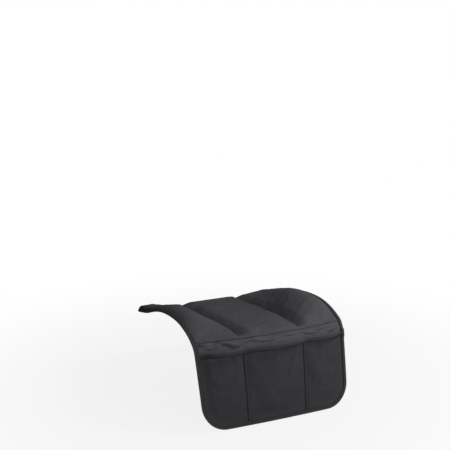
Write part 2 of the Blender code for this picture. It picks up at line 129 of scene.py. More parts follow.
def crease(x, s):
    """Depth of the two folds: a crisp parabola on the left of each fold, and a long ease on its right."""
    depth = 0.0
    for middle in (-FOLD, FOLD):
        away = x - middle
        lip = 1.0 - np.clip(-away / FOLD_LIP, 0.0, 1.0) ** 2
        depth = depth + FOLD_DEPTH * np.where(away < 0, lip, 1.0 - ease(away / FOLD_SLOPE))
    return depth * ease(-s / 0.040) * (0.6 + 0.4 * ease((s + SEAT_LENGTH) / 0.080))


def ripple(x, s):
    """Unevenness shared by every ply, which dies out towards the edge."""
    found = 0.0
    for k, (length, height) in enumerate(RIPPLES):
        turn = GOLDEN_ANGLE * k + 0.6
        along = (x * math.cos(turn) + s * math.sin(turn)) / length
        across = (s * math.cos(turn) - x * math.sin(turn)) / (2.3 * length)
        wave = np.sin(2 * math.pi * along + 1.3 * k)
        found = found + height * wave * np.cos(2 * math.pi * across + 2.1 * k)
    return 0.001 * found * ease(edge_distance(x, s) / 0.060)


def shoulder(x, s):
    """Lift of the rear corners, up to the crest, less the last 16 mm of the sides, which turn down."""
    crest = FOLD + (HALF_WIDTH - FOLD) * CREST_SHARE
    across = ease((np.abs(x) - CORNER_START) / (crest - CORNER_START))
    lift = np.where(x < 0, 0.010, 0.005) * across * ease(1.0 - (s + SEAT_LENGTH) / 0.120)
    at_side = ease((np.abs(x) - HALF_WIDTH + 0.016) / 0.016)
    return lift - 0.013 * at_side * ease(1.0 - (s + SEAT_LENGTH) / 0.240)


def drape(x, s):
    """The two rails blended, with creases, ripples and shoulders. The flap narrows by 1 cm on each side."""
    share = side_share(x, s)
    fall, y, z = (
        np.interp(s, CENTRE[0], CENTRE[k]) * (1.0 - share) + np.interp(s, SIDE[0], SIDE[k]) * share
        for k in (1, 2, 3)
    )
    sunk = crease(x, s) - ripple(x, s)
    narrowed = 1.0 - (0.010 / HALF_WIDTH) * np.clip(s, 0.0, None) / FLAP_LENGTH
    raised = z - np.cos(fall) * sunk + shoulder(x, s)
    return np.stack([x * narrowed, y + np.sin(fall) * sunk, raised], axis=-1)


def cloth_normal(x, s, step=0.0008):
    """Cross product of two short steps on the drape, one along the cloth and one across it."""
    normal = np.cross(drape(x, s + step) - drape(x, s - step), drape(x + step, s) - drape(x - step, s))
    return normal / np.linalg.norm(normal, axis=-1, keepdims=True)


def fullness(x, s):
    """0 along the sewn lines and 1 over the foam, and between them the sine of a quarter turn."""
    nearest = np.minimum(np.minimum(edge_distance(x, s) - BINDING_WIDTH, fold_distance(x)), -s - 2 * SEAM_LAP)
    return np.sin(np.clip(nearest / PANEL_EDGE, 0.0, 1.0) * math.pi / 2)


def core(x, s):
    """Half the space between the two cloths."""
    return PLY_GAP / 2 + fullness(x, s) * (FOAM / 2 + PLY_GAP)


def laid(x, s, height):
    """The pattern point lifted along the cloth's normal, and measured from ORIGIN."""
    return drape(x, s) + cloth_normal(x, s) * np.asarray(height)[..., None] - ORIGIN


def pattern_grid(lines, columns):
    """Even columns on rows at the given distances, drawn in where the cut cloth's outline turns a corner."""
    s = lines[:, None] * np.ones((1, columns))
    x = np.linspace(INSET - HALF_WIDTH, HALF_WIDTH - INSET, columns)[None, :] * np.ones((len(lines), 1))
    half = np.full_like(s, HALF_WIDTH - INSET)
    for radius, past in corners_past(s):
        reach = np.sqrt(np.clip((radius - INSET) ** 2 - past**2, 1e-9, None))
        half = np.where(past > 0, HALF_WIDTH - radius + reach, half)
    beyond = np.clip(np.abs(x) - CORNER_START, 0.0, None)
    scale = (half - CORNER_START) / (HALF_WIDTH - INSET - CORNER_START)
    return np.sign(x) * (np.abs(x) - beyond + beyond * scale), s


def mesh_piece(name, points, faces, uv=None, smooth=True):
    """An object from points (n, 3) and quads (m, 4), with a map where each point has a coordinate."""
    mesh = bpy.data.meshes.new(name)
    mesh.vertices.add(len(points))
    mesh.vertices.foreach_set("co", np.asarray(points, np.float32).ravel())
    mesh.loops.add(faces.size)
    mesh.loops.foreach_set("vertex_index", faces.astype(np.int32).ravel())
    mesh.polygons.add(len(faces))
    mesh.polygons.foreach_set("loop_start", np.arange(0, faces.size, faces.shape[1], dtype=np.int32))
    mesh.update(calc_edges=True)
    mesh.validate()
    if uv is not None:
        corners = np.empty(len(mesh.loops), np.int32)
        mesh.loops.foreach_get("vertex_index", corners)
        mesh.uv_layers.new(name="pattern").data.foreach_set("uv", np.asarray(uv, np.float32)[corners].ravel())
    mesh.polygons.foreach_set("use_smooth", np.full(len(mesh.polygons), smooth))
    piece = bpy.data.objects.new(name, mesh)
    bpy.context.scene.collection.objects.link(piece)
    return piece


def grid_quads(rows, columns):
    """The numbers of a grid's points, and its quads."""
    number = np.arange(rows * columns).reshape(rows, columns)
    quads = np.stack([number[:-1, :-1], number[1:, :-1], number[1:, 1:], number[:-1, 1:]], axis=-1)
    return number, quads.reshape(-1, 4)


def cloth_piece(name, x, s, top, bottom):
    """A closed sheet: a grid at two heights, joined round its rim. Its map is in pattern metres."""
    number, quads = grid_quads(*x.shape)
    rim = np.concatenate([number[:-1, 0], number[-1, :-1], number[:0:-1, -1], number[0, :0:-1]])
    after = np.roll(rim, -1)
    lower = number.size
    walls = np.stack([after, rim, rim + lower, after + lower], axis=-1)
    points = np.concatenate([laid(x, s, top).reshape(-1, 3), laid(x, s, bottom).reshape(-1, 3)])
    uv = np.tile(np.stack([x, s], axis=-1).reshape(-1, 2), (2, 1))
    return mesh_piece(name, points, np.concatenate([quads, quads[:, ::-1] + lower, walls]), uv)


def wire(tree, kind, settings=(), **inputs):
    """A shader node with its settings made and its inputs set or linked, by name or as i and a number."""
    node = tree.nodes.new(kind)
    for key, value in settings:
        setattr(node, key, value)
    for key, value in inputs.items():
        by_number = key[0] == "i" and key[1:].isdigit()
        socket = node.inputs[int(key[1:]) if by_number else key.replace("_", " ")]
        if isinstance(value, bpy.types.NodeSocket):
            tree.links.new(value, socket)
        else:
            socket.default_value = value
    return node


def math_node(tree, operation, first, second=0.0):
    return wire(tree, "ShaderNodeMath", (("operation", operation),), i0=first, i1=second).outputs[0]


def pattern_map(tree):
    """The piece's own map, in metres."""
    return wire(tree, "ShaderNodeUVMap", (("uv_map", "pattern"),)).outputs[0]


def shader_group(name, wanted, given):
    """An empty node group with float inputs and the outputs asked for."""
    group = bpy.data.node_groups.new(name, "ShaderNodeTree")
    for socket, value in wanted:
        made = group.interface.new_socket(name=socket, in_out="INPUT", socket_type="NodeSocketFloat")
        made.default_value = value
    for socket, kind in given:
        group.interface.new_socket(name=socket, in_out="OUTPUT", socket_type=kind)
    return group, group.nodes.new("NodeGroupInput"), group.nodes.new("NodeGroupOutput")


def make_weave():
    """Plain weave: a sine across the cloth times a sine along it, with uneven yarn from noise."""
    group, given, out = shader_group(
        "plain weave",
        (("Threads per metre", 1400.0), ("Unevenness", 0.5)),
        (("Height", "NodeSocketFloat"), ("Tone", "NodeSocketFloat")),
    )
    place = pattern_map(group)
    split = wire(group, "ShaderNodeSeparateXYZ", Vector=place)
    turns = math_node(group, "MULTIPLY", given.outputs["Threads per metre"], math.pi)
    across = math_node(group, "SINE", math_node(group, "MULTIPLY", split.outputs["X"], turns))
    along = math_node(group, "SINE", math_node(group, "MULTIPLY", split.outputs["Y"], turns))
    weave = math_node(group, "MULTIPLY", across, along)
    stretch = wire(group, "ShaderNodeMapping", Vector=place, Scale=(60.0, 900.0, 1.0))
    slub = wire(group, "ShaderNodeTexNoise", Vector=stretch.outputs[0], Scale=1.0, Detail=3.0).outputs["Fac"]
    slub_height = math_node(group, "MULTIPLY", slub, given.outputs["Unevenness"])
    height = math_node(group, "ADD", math_node(group, "MULTIPLY", weave, 0.5), slub_height)
    cloud = wire(group, "ShaderNodeTexNoise", Vector=place, Scale=22.0, Detail=4.0, Roughness=0.6)
    cloud_tone = math_node(group, "MULTIPLY", cloud.outputs["Fac"], 0.6)
    tone = math_node(group, "ADD", cloud_tone, math_node(group, "MULTIPLY", slub, 0.4))
    group.links.new(height, out.inputs["Height"])
    group.links.new(tone, out.inputs["Tone"])
    return group


WEAVE = make_weave()


def new_surface(name, roughness, specular):
    """A material, its node tree, and its Principled BSDF with the two values set."""
    material = bpy.data.materials.new(name)
    material.use_nodes = True
    tree = material.node_tree
    surface = tree.nodes["Principled BSDF"]
    surface.inputs["Roughness"].default_value = roughness
    surface.inputs["Specular IOR Level"].default_value = specular
    return material, tree, surface


def two_tones(tree, surface, share, dark, light):
    """The base colour, from dark where the share is 0 to light where it is 1."""
    colour = wire(tree, "ShaderNodeMix", (("data_type", "RGBA"),), i0=share, i6=(*dark, 1.0), i7=(*light, 1.0))
    tree.links.new(colour.outputs[2], surface.inputs["Base Color"])


def relief(tree, surface, height, strength, distance):
    """A bump from a height, on the surface's normal."""
    bump = wire(tree, "ShaderNodeBump", Strength=strength, Distance=distance, Height=height)
    tree.links.new(bump.outputs[0], surface.inputs["Normal"])


def cloth_material(name, dark, light, threads, bump, roughness, sheen):
    """Woven polyester: two tones mixed by the weave group, its height as a bump, and a soft sheen."""
    material, tree, surface = new_surface(name, roughness, specular=0.0)
    weave = wire(tree, "ShaderNodeGroup", (("node_tree", WEAVE),), Threads_per_metre=threads, Unevenness=0.6)
    two_tones(tree, surface, weave.outputs["Tone"], dark, light)
    relief(tree, surface, weave.outputs["Height"], bump, 0.0004)
    surface.inputs["Sheen Weight"].default_value = sheen
    surface.inputs["Sheen Roughness"].default_value = 0.45
    return material


def add_grip_dots(material, pitch=0.008, radius=0.0011):
    """Rubber dots on a square pitch: the distance from the cell's centre, cut at the dot's radius."""
    tree = material.node_tree
    surface = tree.nodes["Principled BSDF"]
    place = pattern_map(tree)
    corner = wire(tree, "ShaderNodeVectorMath", (("operation", "SNAP"),), i0=place, i1=(pitch, pitch, 1.0))
    inside = wire(tree, "ShaderNodeVectorMath", (("operation", "SUBTRACT"),), i0=place, i1=corner.outputs[0])
    centre = (pitch / 2, pitch / 2, 0.0)
    away = wire(tree, "ShaderNodeVectorMath", (("operation", "DISTANCE"),), i0=inside.outputs[0], i1=centre)
    dot = math_node(tree, "LESS_THAN", away.outputs["Value"], radius)
    under = surface.inputs["Base Color"].links[0].from_socket
    rubber = (0.10, 0.10, 0.105, 1.0)
    dotted = wire(tree, "ShaderNodeMix", (("data_type", "RGBA"),), i0=dot, i6=under, i7=rubber)
    tree.links.new(dotted.outputs[2], surface.inputs["Base Color"])
    rough = math_node(tree, "SUBTRACT", 0.9, math_node(tree, "MULTIPLY", dot, 0.4))
    tree.links.new(rough, surface.inputs["Roughness"])


underside_cloth = cloth_material(
    "underside cloth", dark=(0.018, 0.018, 0.020), light=(0.032, 0.032, 0.034),
    threads=1100.0, bump=0.3, roughness=0.9, sheen=0.04,
)
add_grip_dots(underside_cloth)
x, s = pattern_grid(np.linspace(INSET - SEAT_LENGTH, FLAP_LENGTH - INSET, 230), 150)
backing = cloth_piece("underside_cloth", x, s, -core(x, s), -core(x, s) - CLOTH)
backing.data.materials.append(underside_cloth)
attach(backing, "root")
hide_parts("backing_cloth")


# The padding: three slabs of grey foam, one in each channel between the sewn lines.
# They are closed in by the two cloths, and give the panels their rounded edges.
FOAM_TO_EDGE = 0.017
FOAM_TO_FOLD = 0.005


def object_place(tree):
    """Place in the piece's own metres."""
    return tree.nodes.new("ShaderNodeTexCoord").outputs["Object"]


def foam_material():
    """Open cell foam: fine cells as tone and as a pitted bump."""
    material, tree, surface = new_surface("padding foam", 0.95, specular=0.5)
    cells = wire(tree, "ShaderNodeTexVoronoi", Vector=object_place(tree), Scale=900.0).outputs["Distance"]
    two_tones(tree, surface, cells, (0.12, 0.12, 0.12), (0.22, 0.22, 0.22))
    relief(tree, surface, cells, 0.5, 0.0005)
    return material


padding_foam = foam_material()
for side, low, high in (
    ("left", FOAM_TO_EDGE - HALF_WIDTH, -FOLD - FOAM_TO_FOLD),
    ("centre", FOAM_TO_FOLD - FOLD, FOLD - FOAM_TO_FOLD),
    ("right", FOLD + FOAM_TO_FOLD, HALF_WIDTH - FOAM_TO_EDGE),
):
    x = np.linspace(low, high, 60)[None, :] * np.ones((150, 1))
    s = np.linspace(0.018 - SEAT_LENGTH, -0.025, 150)[:, None] * np.ones((1, 60))
    half = np.maximum(core(x, s) - PLY_GAP, 0.0003)
    pad = cloth_piece(f"foam_slab_{side}", x, s, half, -half)
    pad.data.materials.append(padding_foam)
    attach(pad, "root")
    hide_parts(f"foam_pad_{side}")


# The flap: charcoal polyester, cut a little full and sewn on under the seat cloth at the front
# seam. It bends over the cushion's nose and hangs down, and wrinkles as it settles there.
POCKET_TOP = 0.029
TAPE_BOTTOM = 0.042
POCKET_SIDE = HALF_WIDTH - BINDING_WIDTH
POCKET_MOUTH = 0.0135  # how far the middle of a mouth stands off
DIVIDER = 0.006  # half the width of a divider tape

# Folds in the strip above the pockets: middle x and s, turn, half length, half width, height.
DRAG_LINES = (
    (-0.206, 0.0080, 0.16, 0.022, 0.0056, 0.0062),
    (-0.178, 0.0165, -0.22, 0.026, 0.0050, 0.0056),
    (-0.143, 0.0100, 0.28, 0.028, 0.0058, 0.0064),
    (-0.110, 0.0180, -0.10, 0.026, 0.0048, 0.0050),
    (-0.080, 0.0095, -0.08, 0.038, 0.0056, 0.0060),
    (-0.026, 0.0155, 0.05, 0.040, 0.0050, 0.0044),
    (0.042, 0.0095, 0.08, 0.040, 0.0050, 0.0040),
    (0.112, 0.0160, 0.16, 0.030, 0.0048, 0.0048),
    (0.168, 0.0100, -0.13, 0.044, 0.0046, 0.0060),
    (0.200, 0.0190, -0.22, 0.024, 0.0038, 0.0048),
)


def belly(x, s):
    """How far the pockets stand off: a parabola across each, falling as a cosine from its mouth to its foot."""
    down = np.clip((s - POCKET_TOP) / (FLAP_LENGTH - BINDING_WIDTH - POCKET_TOP), 0.0, 1.0)
    loose = np.cos(down * math.pi / 2) * ease((edge_distance(x, s) - BINDING_WIDTH) / 0.035)
    depth = 0.0
    for low, high in (
        (-POCKET_SIDE, -FOLD - DIVIDER), (DIVIDER - FOLD, FOLD - DIVIDER), (FOLD + DIVIDER, POCKET_SIDE),
    ):
        share = np.clip((x - low) / (high - low), 0.0, 1.0)
        depth = depth + POCKET_MOUTH * 4.0 * share * (1.0 - share)
    return depth * loose


def settle(x, s, height, held, excess, pressure=0.0, frames=24):
    """Cloth simulation: a grid, cut longer by the excess and held on its seams, falls on the ply below it.

    What it gives back is how far each point moved along the cloth's normal.
    """
    def sheet(name, level):
        return mesh_piece(name, laid(x, s, level).reshape(-1, 3), grid_quads(*x.shape)[1])

    bed = sheet("bed", height - 0.0012)
    bed.modifiers.new("collision", "COLLISION")
    bed.collision.thickness_outer = 0.001
    bed.collision.cloth_friction = 12.0
    cloth = sheet("cloth", height)
    pins = cloth.vertex_groups.new(name="sewn")
    weights = held.ravel()
    for share in np.unique(np.round(weights[weights > 0.01], 1)):
        chosen = np.flatnonzero(np.round(weights, 1) == share)
        pins.add(chosen.tolist(), float(share), "REPLACE")
    simulated = cloth.modifiers.new("cloth", "CLOTH")
    settings = simulated.settings
    settings.vertex_group_mass = "sewn"
    settings.quality = 4
    settings.mass = 0.25
    settings.tension_stiffness = settings.compression_stiffness = 25.0
    settings.shear_stiffness = 8.0
    settings.bending_stiffness = 45.0
    settings.tension_damping = settings.compression_damping = 8.0
    settings.shear_damping = 6.0
    settings.bending_damping = 1.0
    settings.air_damping = 2.0
    settings.shrink_min = -excess
    settings.use_pressure = pressure > 0.0
    settings.uniform_pressure_force = pressure
    simulated.collision_settings.distance_min = 0.0008
    simulated.collision_settings.use_self_collision = False
    simulated.point_cache.frame_end = frames
    scene = bpy.context.scene
    for count in range(1, frames + 1):
        scene.frame_set(count)
    found = cloth.evaluated_get(bpy.context.evaluated_depsgraph_get()).to_mesh()
    places = np.empty(x.size * 3, np.float32)
    found.vertices.foreach_get("co", places)
    cloth.to_mesh_clear()
    scene.frame_set(1)
    for piece in (bed, cloth):
        mesh = piece.data
        bpy.data.objects.remove(piece)
        bpy.data.meshes.remove(mesh)
    moved = places.reshape(*x.shape, 3) - laid(x, s, height)
    return (moved * cloth_normal(x, s)).sum(axis=-1)


def softened(values):
    """Each value blended with its neighbours, a quarter from either side, along both axes."""
    for axis in (0, 1):
        pad = ((1, 1), (0, 0)) if axis == 0 else ((0, 0), (1, 1))
        wide = np.pad(values, pad, mode="edge")
        last = wide.shape[axis]
        before, after = (np.take(wide, np.arange(k, last - 2 + k), axis=axis) for k in (0, 2))
        values = 0.5 * values + 0.25 * (before + after)
    return values


def finer(values, down, across):
    """Values at shares of the way down and across, on cubic curves through those of the grid."""
    for axis, share in ((0, down), (1, across)):
        last = values.shape[axis] - 1
        at = share * last
        first = np.minimum(at.astype(int), last - 1)
        t = (at - first).reshape((-1, 1) if axis == 0 else (1, -1))
        before, start, end, after = (
            np.take(values, np.clip(first + k, 0, last), axis=axis) for k in (-1, 0, 1, 2)
        )
        bend = 2 * before - 5 * start + 4 * end - after + t * (3 * (start - end) + after - before)
        values = start + 0.5 * t * (end - before + t * bend)
    return values


def flap_held(x, s):
    """1 where the flap is sewn: at the seam, in the edge binding, and under the two dividers."""
    from_divider = np.where(s > POCKET_TOP, fold_distance(x) - DIVIDER, 1.0)
    free = np.minimum(np.minimum(edge_distance(x, s) - BINDING_WIDTH, from_divider), s - 0.001)
    return 1.0 - ease(free / 0.003)


def drag_lines(x, s):
    """The folds above the pockets: each is a bell across its line, steeper below, that fades at its ends."""
    found = 0.0
    for middle_x, middle_s, turn, length, width, height in DRAG_LINES:
        along = (x - middle_x) * math.cos(turn) + (s - middle_s) * math.sin(turn)
        across = (s - middle_s) * math.cos(turn) - (x - middle_x) * math.sin(turn)
        across = across + 0.004 * (along / length) ** 2
        bell = np.exp(-((across / np.where(across > 0, 0.7 * width, 1.3 * width)) ** 2))
        found = found + height * bell * np.exp(-((along / length) ** 4))
    clear = ease((POCKET_TOP - 0.002 - s) / 0.006)
    return found * clear * ease((s - 0.0005) / 0.004) * ease((edge_distance(x, s) - BINDING_WIDTH) / 0.010)


charcoal_cloth = cloth_material(
    "charcoal cloth", dark=(0.050, 0.047, 0.052), light=(0.070, 0.067, 0.072),
    threads=1400.0, bump=0.35, roughness=0.82, sheen=0.02,
)
end = FLAP_LENGTH - INSET
x, s = pattern_grid(np.linspace(-SEAM_LAP, end, 52), 90)
settled = softened(settle(x, s, core(x, s), flap_held(x, s), excess=0.016))
fine_end = 0.034
lines = np.concatenate([np.linspace(-SEAM_LAP, fine_end, 64)[:-1], np.linspace(fine_end, end, 95)])
x, s = pattern_grid(lines, 220)
settled = finer(settled, (lines + SEAM_LAP) / (end + SEAM_LAP), np.linspace(0.0, 1.0, 220))
settled = np.clip(settled, 0.0, np.where(s > POCKET_TOP - 0.004, 0.4 * belly(x, s), 0.004))
under = core(x, s) + (settled + drag_lines(x, s)) * (1.0 - flap_held(x, s))
flap = cloth_piece("flap_cloth", x, s, under + CLOTH, under)
flap.data.materials.append(charcoal_cloth)
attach(flap, "root")
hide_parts("flap_face_cloth")


# The seat cloth: the same charcoal polyester, over the foam. It is cut a little full and sewn
# down round its edge and along the two folds, so it wrinkles as it settles on the foam. Its front
# edge is turned under and sewn to the flap in a low welt.
WELT_WIDTH, WELT_HEIGHT = 0.0032, 0.0030


def seat_underside(x, s):
    """The space over the foam, plus the climb on to the flap cloth in the last 16 mm."""
    climb = ease((s + SEAM_LAP + 0.006) / 0.006) * (CLOTH + PLY_GAP)
    return core(x, s) + climb


def sewn_down(x, s):
    """1 on the sewn lines, and 0 from 2 mm away from them: the edge, the front seam and the two folds."""
    from_edge = edge_distance(x, s) - BINDING_WIDTH
    free = np.minimum(np.minimum(from_edge, fold_distance(x) - 0.0015), -s - 0.010)
    return 1.0 - ease(free / 0.002)


def welt(x, s):
    """The turned edge: a half round along the seam, flat under the binding, and uneven puckers behind it."""
    roll = np.sqrt(np.clip(1.0 - ((s + WELT_WIDTH) / WELT_WIDTH) ** 2, 0.0, 1.0))
    roll = WELT_HEIGHT * roll * ease((HALF_WIDTH - BINDING_WIDTH - np.abs(x)) / 0.006)
    slow = np.sin(x * 71.0 + 1.5 * np.sin(x * 19.0))
    uneven = np.sin(2 * math.pi * x / 0.0171 + 2.2 * np.sin(x * 43.0)) * slow
    return roll + 0.0011 * np.clip(uneven, 0.0, 1.0) * ease((s + 0.040) / 0.026) * ease(-(s + 0.008) / 0.008)


start = INSET - SEAT_LENGTH
x, s = pattern_grid(np.linspace(start, 0.0, 79), 83)
settled = settle(x, s, seat_underside(x, s), sewn_down(x, s), excess=0.012, pressure=1.0)
for _ in range(3):
    settled = softened(settled)
fine_start = -0.016
lines = np.concatenate([np.linspace(start, fine_start, 185)[:-1], np.linspace(fine_start, 0.0, 24)])
x, s = pattern_grid(lines, 225)
settled = finer(settled, (lines - start) / -start, np.linspace(0.0, 1.0, 225))
settled = np.clip(settled, 0.0, 0.0045) * (1.0 - sewn_down(x, s))
under = seat_underside(x, s) + welt(x, s) + settled
seat_cloth = cloth_piece("seat_cloth", x, s, under + CLOTH, under)
seat_cloth.data.materials.append(charcoal_cloth)
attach(seat_cloth, "root")
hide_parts("seat_face_cloth")


# The stitching of the front seam: black polyester thread, a stitch every 3.4 mm, 7 mm
# behind the turned edge. The later rows of stitches are made the same way.
STITCH_PITCH = 0.0034
STITCH_LENGTH = 0.0027
STITCH_HALF_WIDTH = 0.00032
STITCH_HALF_HEIGHT = 0.00026
SEAM_STITCH = -0.0072


def thread_material():
    """Twisted black thread: a slanting wave as tone and as the bump, and a slight gloss."""
    material, tree, surface = new_surface("sewing thread", 0.6, specular=0.3)
    slanting = (("bands_direction", "DIAGONAL"),)
    twist = wire(tree, "ShaderNodeTexWave", slanting, Vector=object_place(tree), Scale=700.0).outputs["Fac"]
    two_tones(tree, surface, twist, (0.020, 0.020, 0.021), (0.050, 0.050, 0.052))
    relief(tree, surface, twist, 0.3, 0.0002)
    return material


def turn_outwards(piece, merge=0.0):
    """Turns every face outwards, once the points closer than the given distance are merged."""
    shape = bmesh.new()
    shape.from_mesh(piece.data)
    if merge > 0.0:
        bmesh.ops.remove_doubles(shape, verts=shape.verts, dist=merge)
    bmesh.ops.recalc_face_normals(shape, faces=shape.faces)
    shape.to_mesh(piece.data)
    shape.free()
    piece.data.polygons.foreach_set("use_smooth", np.ones(len(piece.data.polygons), bool))


def stitch_row(name, slot, *rows):
    """Stitches along rows of points with normals: six-sided spindles, thick in the middle, at an even pitch."""
    profile = np.array([[-0.5, 0.0], [-0.36, 0.8], [0.0, 1.0], [0.36, 0.8], [0.5, 0.0]])
    reach, thick = profile[None, :, None, 0:1], profile[None, :, None, 1:2]
    turn = (np.arange(6) * math.pi / 3)[None, None, :, None]
    points, count = [], 0
    for line, normal in rows:
        length = np.concatenate([[0.0], np.cumsum(np.linalg.norm(np.diff(line, axis=0), axis=1))])
        at = np.arange(STITCH_PITCH / 2, length[-1] - STITCH_PITCH / 2, STITCH_PITCH)
        middle, next_to, up = (
            np.stack([np.interp(where, length, values[:, k]) for k in range(3)], axis=-1)
            for where, values in ((at, line), (at + 0.0005, line), (at, normal))
        )
        ahead = next_to - middle
        ahead /= np.linalg.norm(ahead, axis=1, keepdims=True)
        up -= ahead * (up * ahead).sum(axis=1, keepdims=True)
        up /= np.linalg.norm(up, axis=1, keepdims=True)
        side = np.cross(ahead, up)
        middle, ahead, side, up = (way[:, None, None, :] for way in (middle, ahead, side, up))
        ring = (
            middle
            + reach * STITCH_LENGTH * ahead
            + thick * STITCH_HALF_WIDTH * np.cos(turn) * side
            + thick * STITCH_HALF_HEIGHT * np.sin(turn) * up
        )
        points.append(ring.reshape(-1, 3))
        count += len(at)
    one = np.arange(30).reshape(5, 6)
    after = np.roll(one, -1, axis=1)
    quads = np.stack([one[:-1], after[:-1], after[1:], one[1:]], axis=-1).reshape(-1, 4)
    faces = (quads[None] + 30 * np.arange(count)[:, None, None]).reshape(-1, 4)
    piece = mesh_piece(name, np.concatenate(points), faces)
    turn_outwards(piece, merge=1e-7)
    piece.data.materials.append(sewing_thread)
    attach(piece, "root")
    return piece


def sewn_line(x, s, height):
    """Points and normals along a line on the pattern, at a height over the cloth."""
    return laid(x, s, height), cloth_normal(x, s)


sewing_thread = thread_material()
x = np.linspace(-0.221, 0.221, 300)
s = np.full_like(x, SEAM_STITCH)
height = seat_underside(x, s) + welt(x, s) + CLOTH + 0.0001
stitch_row("front_seam_stitches", "black_tape", sewn_line(x, s, height))


# The pocket net: one width of black knitted net over the flap, with diamond holes of 3 mm.
# It is caught in the edge binding, and stands off the flap beside and between the two divider tapes.
HEM_STEP = CLOTH + PLY_GAP
STRAND = 0.00019  # half the thickness of a strand
NET_PITCH = 0.0031


def net_height(x, s):
    """The net's middle: on the flap cloth, clear of its own hem tape at the mouth, and off by its belly."""
    at_hem = 1.0 - ease((s - TAPE_BOTTOM) / 0.010)
    return core(x, s) + CLOTH + PLY_GAP + STRAND + HEM_STEP * at_hem + belly(x, s)


def net_piece(name):
    """Two families of strands on the slant: a square tube through every knot that lies on the net."""
    steps = np.arange(-110, 170) * NET_PITCH
    a, b = np.meshgrid(steps, steps, indexing="ij")
    x, s = (a + b) / math.sqrt(2), (a - b) / math.sqrt(2)
    inside = (edge_distance(x, s) > 0.004) & (s > POCKET_TOP + 0.001)
    centre = laid(x, s, net_height(x, s))
    normal = cloth_normal(x, s)
    points, faces, base = [], [], 0
    for family in (0, 1):
        ahead = np.gradient(centre, axis=family)
        ahead /= np.linalg.norm(ahead, axis=-1, keepdims=True)
        side = np.cross(ahead, normal)
        ring = np.stack([
            centre + side * STRAND + normal * STRAND, centre - side * STRAND + normal * STRAND,
            centre - side * STRAND - normal * STRAND, centre + side * STRAND - normal * STRAND,
        ], axis=2)
        both = inside & np.roll(inside, -1, axis=family)
        number = np.arange(inside.size).reshape(inside.shape)
        here, there = number[both] * 4, np.roll(number, -1, axis=family)[both] * 4
        for k in range(4):
            following = (k + 1) % 4
            tube = np.stack([here + k, here + following, there + following, there + k], axis=-1)
            faces.append(tube + base)
        points.append(ring.reshape(-1, 3))
        base += inside.size * 4
    points, faces = np.concatenate(points), np.concatenate(faces)
    used, packed = np.unique(faces, return_inverse=True)
    return mesh_piece(name, points[used], packed.reshape(faces.shape), smooth=False)


def net_material():
    """Black yarn: fine noise as tone and as the bump."""
    material, tree, surface = new_surface("pocket net", 0.7, specular=0.0)
    yarn = wire(tree, "ShaderNodeTexNoise", Vector=object_place(tree), Scale=1500.0, Detail=2.0).outputs["Fac"]
    two_tones(tree, surface, yarn, (0.024, 0.022, 0.025), (0.050, 0.047, 0.052))
    relief(tree, surface, yarn, 0.4, 0.0002)
    return material


net = net_piece("pocket_net")
net.data.materials.append(net_material())
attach(net, "root")
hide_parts("mesh_pocket_panel")


# The hem tape: black ribbed tape 13 mm wide, folded over the top of the net and sewn through.
# It runs from side to side, bows out over each mouth, and is caught in the edge binding.
HEM_STITCH = 0.0120


def folded_tape(name, px, ps, in_x, in_s, low, high, width, thickness, closed):
    """A folded section carried along a path, from one leg round the fold to the other leg and back inside.

    A point of the section is its way in from the fold, its face, and its swell. The outer faces, top
    and bottom, stand off the plies by the thickness. The inner ones, high and low, lie on the plies.
    """
    bend = thickness * 1.3
    section = [
        (width, "top", 0.0), (width * 0.6, "top", 0.15), (width * 0.3, "top", 0.15), (bend, "top", 0.0),
        (0.3 * bend, "top", -0.45), (0.0, "fold", 0.0), (0.3 * bend, "bottom", -0.45), (bend, "bottom", 0.0),
        (width * 0.3, "bottom", 0.15), (width * 0.6, "bottom", 0.15), (width, "bottom", 0.0),
        (width, "low", 0.0), (thickness, "low", 0.0), (thickness, "high", 0.0), (width, "high", 0.0),
    ]
    levels = {"top": (high, 1.0), "bottom": (low, -1.0), "low": (low, 0.0), "high": (high, 0.0)}
    x = np.stack([px + in_x * d for d, _, _ in section], axis=1)
    s = np.stack([ps + in_s * d for d, _, _ in section], axis=1)
    heights = []
    for distance, level, swell in section:
        if level == "fold":
            heights.append((low(distance) + high(distance)) / 2)
            continue
        base, sign = levels[level]
        heights.append(base(distance) + sign * thickness * (1.0 + swell))
    height = np.stack(heights, axis=1)
    points = laid(x, s, height)
    rings, size = x.shape
    number = np.arange(rings * size).reshape(rings, size)
    ahead = np.roll(number, -1, axis=0) if closed else number[1:]
    here = number if closed else number[:-1]
    faces = np.stack([here, ahead, np.roll(ahead, -1, axis=1), np.roll(here, -1, axis=1)], axis=-1)
    fold = points[:, 5]
    along = np.concatenate([[0.0], np.cumsum(np.linalg.norm(np.diff(fold, axis=0), axis=1))])
    across = np.array([d for d, _, _ in section])
    uv = np.stack([along[:, None] * np.ones(size), across[None, :] * np.ones((rings, 1))], axis=-1)
    piece = mesh_piece(name, points.reshape(-1, 3), faces.reshape(-1, 4), uv.reshape(-1, 2))
    if not closed:
        cap_ends(piece, number[0], number[-1])
    turn_outwards(piece)
    return piece


def cap_ends(piece, first, last):
    """Closes a tape's two ends with three faces between the outer and the inner points of its section."""
    shape = bmesh.new()
    shape.from_mesh(piece.data)
    shape.verts.ensure_lookup_table()
    for ring in (first, last):
        corners = [shape.verts[int(k)] for k in ring]
        shape.faces.new(corners[0:5] + corners[14:15])
        shape.faces.new([corners[4], corners[5], corners[6], corners[12], corners[13], corners[14]])
        shape.faces.new(corners[6:11] + corners[11:13])
    shape.to_mesh(piece.data)
    shape.free()


